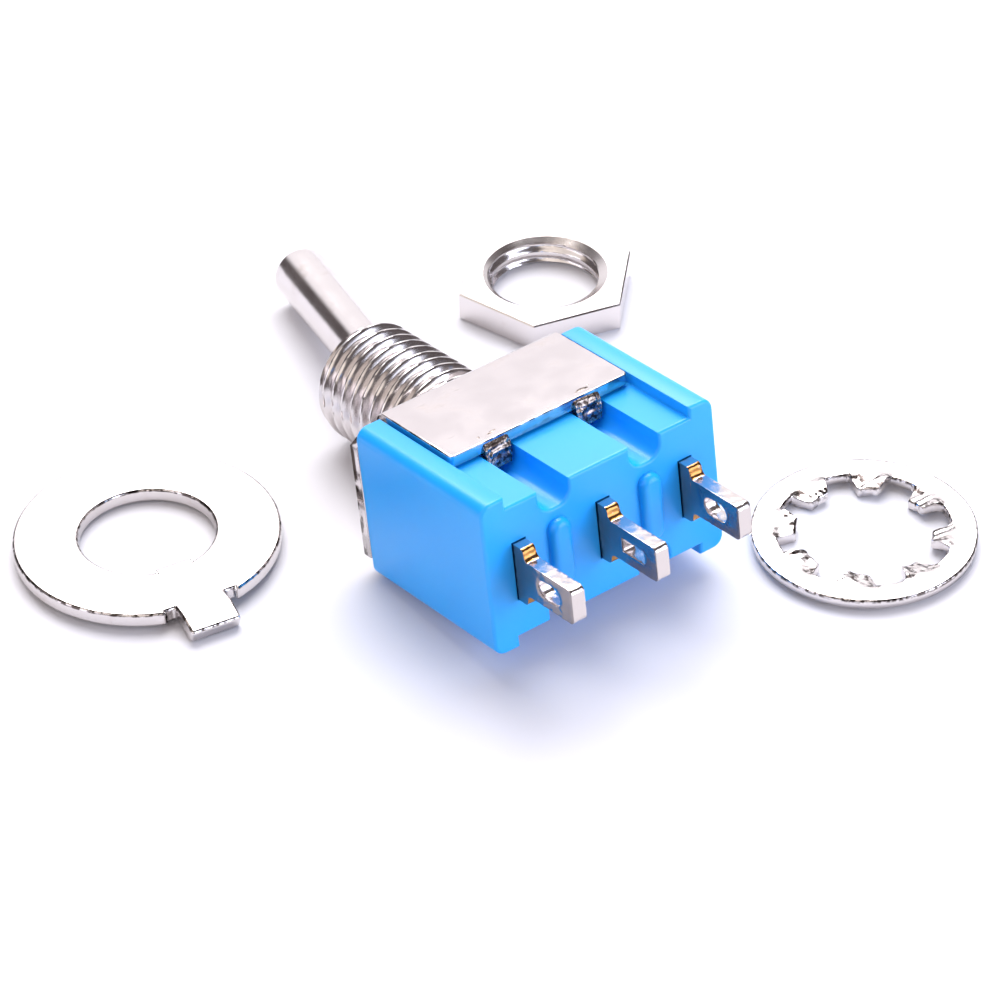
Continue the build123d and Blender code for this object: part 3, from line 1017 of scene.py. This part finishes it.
@dataclass
class LockWasher:
    """The internal-tooth lock washer: a flat ring whose inner teeth are twisted out of its plane.

    A tooth's twist fades over the width beside it, and towards the ring between the two radii of root, which
    count from the gap's. Its droop starts droop_start past the gap's radius and counts in tooth lengths, up
    to most_inwards.
    """

    radius: float = 5.25
    gap_radius: float = 4.1
    tooth_radius: float = 3.15
    sheet: float = 0.5
    teeth: int = 8
    tooth_half_width: float = 0.8
    tooth_rounding: float = 0.22
    twist_slope: float = -0.22
    beside: float = 0.35
    root: tuple[float, float] = (-0.35, 0.3)
    droop: float = 0.08
    droop_start: float = 0.2
    droop_power: float = 1.5
    most_inwards: float = 1.2
    edge: float = 0.05
    burr: float = 0.045
    burr_length: float = 0.9
    burr_seed: int = 7
    crease: float = 50.0
    columns: int = 448
    rows: int = 22

    def build(self, metal: bpy.types.Material) -> None:
        """Carry a flat section round the ring and twist it at each tooth.

        The inner edge steps in from the gap's radius to the tooth's where the sideways distance from the
        tooth's middle falls under its half width. The sheet's height is that distance times the twist's
        slope, eased in from the ring to the tooth, less a droop that grows inwards with a power, plus a
        burr's small ripple on the tooth.

        Args:
            metal: The stamped steel's finish.
        """
        low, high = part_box("lock_washer")
        axes = flat_axes((low + high) / 2 / MM, 0.0)
        angle = around(self.columns)
        step = FULL_TURN / self.teeth
        from_tooth = angle - np.round(angle / step) * step
        inside = 1.0 - smooth_step(np.abs(self.gap_radius * np.sin(from_tooth)),
                                   self.tooth_half_width - self.tooth_rounding,
                                   self.tooth_half_width + self.tooth_rounding)
        inner = self.gap_radius - (self.gap_radius - self.tooth_radius) * inside
        share = np.linspace(0.0, 1.0, self.rows)[:, None]
        inner_edge = inner + self.edge
        across = inner_edge + (self.radius - self.edge - inner_edge) * share
        half = self.sheet / 2
        rounded = half - self.edge
        radius, side = stacked(angle, (across, half), (self.radius, rounded), (self.radius, -rounded),
                               (across[::-1], -half), (inner, -rounded), (inner, rounded))
        sideways = radius * np.sin(from_tooth)
        window = 1.0 - smooth_step(np.abs(sideways), self.tooth_half_width,
                                   self.tooth_half_width + self.beside)
        ease = 1.0 - smooth_step(radius, self.gap_radius + self.root[0], self.gap_radius + self.root[1])
        inwards = np.clip((self.gap_radius + self.droop_start - radius)
                          / (self.gap_radius - self.tooth_radius), 0.0, self.most_inwards)
        on_tooth = np.clip(sideways, -self.tooth_half_width, self.tooth_half_width)
        middle = self.twist_slope * on_tooth * ease * window - self.droop * inwards ** self.droop_power
        points = axes.round_place(radius, angle, middle + side)
        points[..., 2] += self.burr * ripple(points, self.burr_length, self.burr_seed) * ease
        points[..., 2] += FLOOR - points[..., 2].min()
        piece = make_surface("lock_washer_twisted", points, rows_close=True, crease=self.crease)
        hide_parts("lock_washer")
        dress(piece, metal, Body.SWITCH)


@dataclass
class StakedTabs:
    """The four tabs punched over into the housing's grooves: short tongues, crumpled at the bend.

    A tab narrows by the share taper, from the share taper_from of its length on. The punch struck it at the
    share strike, over the share strike_width, and reached past its outer side by a sine of strike_past.
    """

    place: float = 2.56
    width: float = 1.42
    sheet: float = 0.6
    arm_face: float = 4.12
    arm_end: float = -5.85
    start: float = -5.3
    bend: float = 0.42
    reach: float = 0.68
    squareness: float = 0.22
    taper: float = 0.12
    taper_from: float = 0.6
    strike: float = 0.5
    strike_width: float = 0.2
    strike_past: float = 0.35
    dent: float = 0.07
    crumple: float = 0.07
    crumple_length: float = 0.6
    crumple_least: float = 0.2
    first_seed: int = 11
    crease: float = 50.0
    rows: int = 110
    columns: int = 120

    def tongue(self, x_place: float, side: float, seed: int) -> np.ndarray:
        """Carry a rounded slot section along a bend from the arm's edge down into the groove.

        The path runs straight along the arm, a quarter circle turns it down, and it runs straight to its
        tip. The section is a superellipse of the tab's width and thickness. The blow is a bell curve along
        the path times the share of the outer side. It dents the tab and raises its ripple from the least.

        Args:
            x_place: The tab's middle along the row.
            side: One on the upper broad face, minus one on the lower.
            seed: Which crumple is drawn.

        Returns:
            The grid of points in millimetres.
        """
        angle = around(self.columns)
        middle = self.arm_face - self.sheet / 2
        straight = abs(self.arm_end + self.bend - self.start)
        turned = self.bend * math.pi / 2
        total = straight + turned + self.reach
        travel = np.linspace(0.0, total, self.rows)[:, None]
        turn = np.clip((travel - straight) / self.bend, 0.0, math.pi / 2)
        after = np.clip(travel - straight - turned, 0.0, None)
        path_y = middle - self.bend * (1.0 - np.cos(turn)) - after
        path_z = self.start - np.clip(travel, 0.0, straight) - self.bend * np.sin(turn)
        normal_y, normal_z = np.cos(turn), -np.sin(turn)
        across = self.width / 2 * np.sign(np.cos(angle)) * np.abs(np.cos(angle)) ** self.squareness
        thick = self.sheet / 2 * np.sign(np.sin(angle)) * np.abs(np.sin(angle)) ** self.squareness
        share = travel / total
        x_value = x_place + across * (1.0 - self.taper * smooth_step(share, self.taper_from, 1.0))
        struck = (np.exp(-((share - self.strike) / self.strike_width) ** 2)
                  * np.clip(np.sin(angle) + self.strike_past, 0.0, 1.0))
        thick = thick - self.dent * struck
        flat = SEAT.place(x_value, side * (path_y + normal_y * thick), path_z + normal_z * thick)
        height = self.crumple_least + (1.0 - self.crumple_least) * struck
        thick = thick + self.crumple * ripple(flat, self.crumple_length, seed) * height
        return SEAT.place(x_value, side * (path_y + normal_y * thick), path_z + normal_z * thick)

    def build(self, metal: bpy.types.Material) -> None:
        """Make the tabs at both grooves of both broad faces and dress them.

        Args:
            metal: The punched steel's finish.
        """
        places = [("upper_far", self.place, 1.0), ("upper_near", -self.place, 1.0),
                  ("lower_far", self.place, -1.0), ("lower_near", -self.place, -1.0)]
        for seed, (name, x_place, side) in enumerate(places, start=self.first_seed):
            piece = make_surface(f"staked_tab_{name}", self.tongue(x_place, side, seed), rows_close=False,
                                 crease=self.crease)
            dress(piece, metal, Body.SWITCH)


@dataclass
class FoldedBracket:
    """The folded steel bracket: rounded edges, and tabs in place of the solid's below arm_end."""

    arm_end: float = -5.83
    finish: EdgeFinish = EdgeFinish(bevel=0.06, crease=60.0, segments=3, clamp=False, merge=0.06)
    tabs: StakedTabs = field(default_factory=StakedTabs)

    def build(self, steel: bpy.types.Material, punched: bpy.types.Material) -> None:
        """Copy the folded sheet without its tabs, then add the crumpled tabs.

        Args:
            steel: The sheet's finish.
            punched: The tabs' finish.
        """
        piece = finished_copy("bracket", self.finish, cut_below=self.arm_end)
        dress(piece, steel, Body.SWITCH)
        self.tabs.build(punched)


@dataclass
class SolderLugs:
    """The three lugs: stamped blades with rounded, slightly dragged edges."""

    nodes: tuple[str, ...] = ("terminal_near", "terminal_centre", "terminal_far")
    first_seed: int = 21
    finish: EdgeFinish = EdgeFinish(bevel=0.07, grain=0.3, ripple=0.014, ripple_length=0.9)

    def build(self, metal: bpy.types.Material) -> None:
        """Copy each terminal with its edges finished.

        Args:
            metal: The lugs' finish.
        """
        for seed, node in enumerate(self.nodes, start=self.first_seed):
            dress(finished_copy(node, self.finish, seed=seed), metal, Body.SWITCH)


@dataclass
class CoilSpring:
    """The plunger's spring: round wire on a helix, in place of the solid's six-sided wire."""

    wire: float = 0.16
    radius: float = 0.52
    half_length: float = 1.16
    turns: float = 4.0
    rows: int = 240
    columns: int = 10

    def build(self, steel: bpy.types.Material) -> None:
        """Carry the wire's circle along a helix about the lever's axis, between the solid spring's ends.

        Args:
            steel: The wire's finish.
        """
        joint = joint_named("plunger_slide")
        along = np.array(joint["axis"], dtype=float)
        along /= np.linalg.norm(along)
        pivot = np.array(joint_named("lever_hinge")["pos_m"]) / MM
        low, high = (np.array(corner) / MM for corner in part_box("plunger_spring"))
        middle = float(np.dot((low + high) / 2 - pivot, along))
        first = np.cross(along, UP)
        first /= np.linalg.norm(first)
        axes = Axes(pivot, first, np.cross(along, first), along)
        share = np.linspace(0.0, 1.0, self.rows)[:, None]
        angle = around(self.columns)
        radius = self.radius + self.wire / 2 * np.cos(angle)
        height = middle - self.half_length + 2 * self.half_length * share + self.wire / 2 * np.sin(angle)
        points = axes.round_place(radius, self.turns * FULL_TURN * share, height)
        piece = make_surface("plunger_spring_wound", points, rows_close=False)
        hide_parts("plunger_spring")
        dress(piece, steel, Body.TOGGLE)
        length = 2 * self.half_length + self.wire
        fixed_end = axes.place(0.0, 0.0, middle + length / 2) * MM
        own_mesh(piece)


@dataclass(frozen=True)
class Lobe:
    """A bright part of the room: its middle, the angles at which it starts and is full, all in degrees."""

    azimuth: float
    elevation: float
    edge: float
    core: float
    colour: str


@dataclass(frozen=True)
class Softbox:
    """A square soft light: its place in degrees and millimetres, its side, its watts and its sRGB colour.

    A mirrored one shows in shiny surfaces.
    """

    name: str
    azimuth: float
    elevation: float
    distance: float
    size: float
    power: float
    colour: str
    mirrored: bool = True


@dataclass
class Studio:
    """The pale surface, the soft light and the camera: millimetres, degrees, and metres for the clips."""

    room_colour: str = "#4E4849"
    room_strength: float = 1.6
    lobes: tuple[Lobe, ...] = (Lobe(144.0, 34.0, 43.0, 30.0, "#E4E0E4"),
                               Lobe(144.0, 43.0, 16.0, 8.0, "#FFFFFF"),
                               Lobe(-88.0, 48.0, 36.0, 28.0, "#AFA298"),
                               Lobe(-88.0, 48.0, 31.0, 20.0, "#D0C8C3"),
                               Lobe(-43.0, 33.0, 22.0, 12.0, "#E6DDD6"))
    softboxes: tuple[Softbox, ...] = (Softbox("back_softbox", 144.0, 60.0, 460.0, 380.0, 2.8, "#FFFDFF"),
                                      Softbox("front_fill", 25.0, 16.0, 520.0, 380.0, 2.0, "#E6ECFF"),
                                      Softbox("side_fill", 54.0, 18.0, 520.0, 380.0, 1.3, "#DFE7FF", False),
                                      Softbox("left_fill", -95.0, 15.0, 520.0, 300.0, 0.45, "#F0EEFF"))
    floor_radius: float = 700.0
    floor_sides: int = 96
    floor_colour: str = "#DEDEE3"
    floor_roughness: float = 0.9
    floor_shine: float = 0.1
    camera_place: tuple[float, float, float] = (-95.293, -131.129, 125.073)
    camera_azimuth: float = -36.437
    camera_elevation: float = 38.385
    camera_roll: float = 1.366
    lens: float = 159.29
    sensor: float = 36.0
    clips: tuple[float, float] = (0.01, 5.0)

    def lay_floor(self) -> None:
        """Lay a white surface under the switch: a polygon on a circle, as high as the nut's lower face."""
        angle = around(self.floor_sides)[0]
        ring = np.stack([self.floor_radius * np.cos(angle), self.floor_radius * np.sin(angle),
                         np.full_like(angle, FLOOR)], axis=1) * MM
        mesh = bpy.data.meshes.new("floor")
        mesh.from_pydata(ring.tolist(), [], [list(range(len(ring)))])
        material, _, shader, _ = new_material("white_board")
        shader.inputs["Base Color"].default_value = linear(self.floor_colour)
        shader.inputs["Roughness"].default_value = self.floor_roughness
        shader.inputs["Specular IOR Level"].default_value = self.floor_shine
        mesh.materials.append(material)
        put_in_scene("floor", mesh)

    def hang(self, softbox: Softbox) -> None:
        """Hang a square soft light that faces the switch.

        Args:
            softbox: The light to hang.
        """
        light = bpy.data.lights.new(softbox.name, "AREA")
        light.size = softbox.size * MM
        light.energy = softbox.power
        light.color = linear(softbox.colour)[:3]
        lamp = put_in_scene(softbox.name, light)
        place = self.direction(softbox.azimuth, softbox.elevation) * softbox.distance
        lamp.location = Vector(tuple(place)) * MM
        lamp.visible_glossy = softbox.mirrored
        lamp.rotation_mode = "QUATERNION"
        lamp.rotation_quaternion = (-lamp.location).to_track_quat("-Z", "Y")

    def light(self) -> None:
        """Hang the softboxes and make the room dim and warm but for its white lobes.

        Each lobe eases the room's colour to its own with the cosine of the angle from the lobe's middle: a
        wide white wall behind the switch with its brightest part by the softbox, a pale board on the left and
        a cream reflector by the camera. The dim rest draws the dark lines in the metal.
        """
        for softbox in self.softboxes:
            self.hang(softbox)
        world = bpy.data.worlds.new("studio_room")
        bpy.context.scene.world = world
        world.use_nodes = True
        tree = world.node_tree
        background = next(node for node in tree.nodes if node.type == "BACKGROUND")
        place = add_node(tree, "ShaderNodeTexCoord").outputs["Generated"]
        colour: Any = linear(self.room_colour)
        for lobe in self.lobes:
            middle = self.direction(lobe.azimuth, lobe.elevation).tolist()
            nearness = add_node(tree, "ShaderNodeVectorMath", {0: place, 1: middle}, operation="DOT_PRODUCT")
            share = add_node(tree, "ShaderNodeMapRange",
                             {"Value": nearness.outputs["Value"],
                              "From Min": math.cos(math.radians(lobe.edge)),
                              "From Max": math.cos(math.radians(lobe.core))},
                             interpolation_type="SMOOTHSTEP").outputs["Result"]
            colour = add_node(tree, "ShaderNodeMix", {"Factor": share, "A": colour, "B": linear(lobe.colour)},
                              data_type="RGBA").outputs["Result"]
        tree.links.new(colour, background.inputs["Color"])
        background.inputs["Strength"].default_value = self.room_strength

    @staticmethod
    def direction(azimuth: float, elevation: float) -> np.ndarray:
        """Give the unit vector at an azimuth from minus y towards x and an elevation.

        Args:
            azimuth: Degrees round from minus y towards x.
            elevation: Degrees up from the surface.

        Returns:
            The unit vector.
        """
        turn, lift = math.radians(azimuth), math.radians(elevation)
        return np.array([math.sin(turn) * math.cos(lift), -math.cos(turn) * math.cos(lift), math.sin(lift)])

    def aim_camera(self) -> None:
        """Stand the camera where the photograph was taken from, with its lens and roll.

        It looks against the direction of its azimuth and elevation. Its level is that direction's quarter
        turn round the surface, and the roll turns its right and its up about the line of sight.
        """
        azimuth, roll = math.radians(self.camera_azimuth), math.radians(self.camera_roll)
        back = Vector(tuple(self.direction(self.camera_azimuth, self.camera_elevation)))
        level = Vector((math.cos(azimuth), math.sin(azimuth), 0.0))
        up = back.cross(level)
        right = level * math.cos(roll) - up * math.sin(roll)
        up = back.cross(right)
        data = bpy.data.cameras.new("camera")
        data.lens = self.lens
        data.sensor_width = self.sensor
        data.clip_start, data.clip_end = self.clips
        camera = put_in_scene("camera", data)
        turn = Matrix((right, up, back)).transposed().to_4x4()
        camera.matrix_world = Matrix.Translation(Vector(self.camera_place) * MM) @ turn
        bpy.context.scene.camera = camera

    def build(self) -> None:
        """Set up the surface, the light, the camera and plain colour handling."""
        self.lay_floor()
        self.light()
        self.aim_camera()
        bpy.context.scene.view_settings.view_transform = "Standard"
        log.info("studio ready")


@dataclass
class ToggleSwitch:
    """The whole switch with its hardware, and the finishes it is dressed in."""

    housing_finish: EdgeFinish = EdgeFinish(bevel=0.06)
    lever_finish: EdgeFinish = EdgeFinish(bevel=0.0, crease=30.0)
    washer_finish: EdgeFinish = EdgeFinish(bevel=0.17, segments=3, clamp=False)

    def build(self) -> None:
        """Make every finish, build each sub-assembly in order and dress the solids that stay.

        The solids that can't be seen from outside stay, but for the spring.
        """
        nickel_brass = NickelPlate("nickel_plated_turned_brass").make()
        nickel_steel = NickelPlate("nickel_plated_stamped_steel", lump_size=0.9).make()
        # The washers and the folded bracket get specks of painted dark reflection on their rounded upper
        # edges.
        blanked = NickelPlate("nickel_plated_blanked_steel", painted_edge_reflection="#544C49", lump_size=0.9).make()
        toothed = NickelPlate("nickel_plated_toothed_steel", painted_edge_reflection="#544C49", edge_reflection_from=0.985,
                              edge_reflection_full=0.95, speck_size=0.22, lump_size=0.9).make()
        folded_steel = NickelPlate("nickel_plated_sheared_steel", bright="#D8D2D2", sheared="#4A413C",
                                   painted_edge_reflection="#3E3633", edge_reflection_from=0.98, edge_reflection_full=0.93, edge_reflection_below=-0.75,
                                   speck_size=0.6, lump_size=0.9).make()
        punched = NickelPlate("nickel_plated_punched_steel", bright="#B0A49C", stained="#463C37",
                              stain_size=0.26, stain_start=0.44, stain_end=0.58, roughness=0.26,
                              lump_size=0.2, lump_height=0.022).make()
        blue = MouldedPlastic("moulded_blue_polyester", "#12A8FF", "#0EA2FC").make()
        lug_metal = TinnedLug().make()
        silver = NickelPlate("silver_contact_metal", bright="#F0ECE6", stained="#D8CFC4",
                             roughness=0.24).make()
        spring_wire = NickelPlate("drawn_spring_wire", bright="#B9B9BC", stained="#9A9A9E",
                                  roughness=0.28).make()
        acetal = MouldedPlastic("moulded_natural_acetal", "#EFEBE0", "#E9E4D6", roughness=0.42).make()

        dress(finished_copy("housing", self.housing_finish), blue, Body.SWITCH)
        FoldedBracket().build(folded_steel, punched)
        ThreadedBushing().build(nickel_brass)
        dress(finished_copy("lever", self.lever_finish), nickel_brass, Body.TOGGLE)
        SolderLugs().build(lug_metal)
        HexNut().build(nickel_brass)
        dress(finished_copy("tab_washer", self.washer_finish), blanked, Body.SWITCH)
        LockWasher().build(toothed)
        CoilSpring().build(spring_wire)
        for node, material in (("rocker", silver), ("contact_near", silver), ("contact_far", silver),
                               ("pivot_pin", nickel_steel), ("plunger", acetal)):
            redress(node, material)


def write_sizes() -> None:
    """Log a line; the solids' box and the dressed model's box are not worked out or written."""
    log.info("boxes written")


def main() -> None:
    """Build the studio and the switch."""
    logging.basicConfig(level=logging.INFO, format="%(name)s: %(message)s")
    Studio().build()
    ToggleSwitch().build()
    write_sizes()


if __name__ == "__main__":
    main()
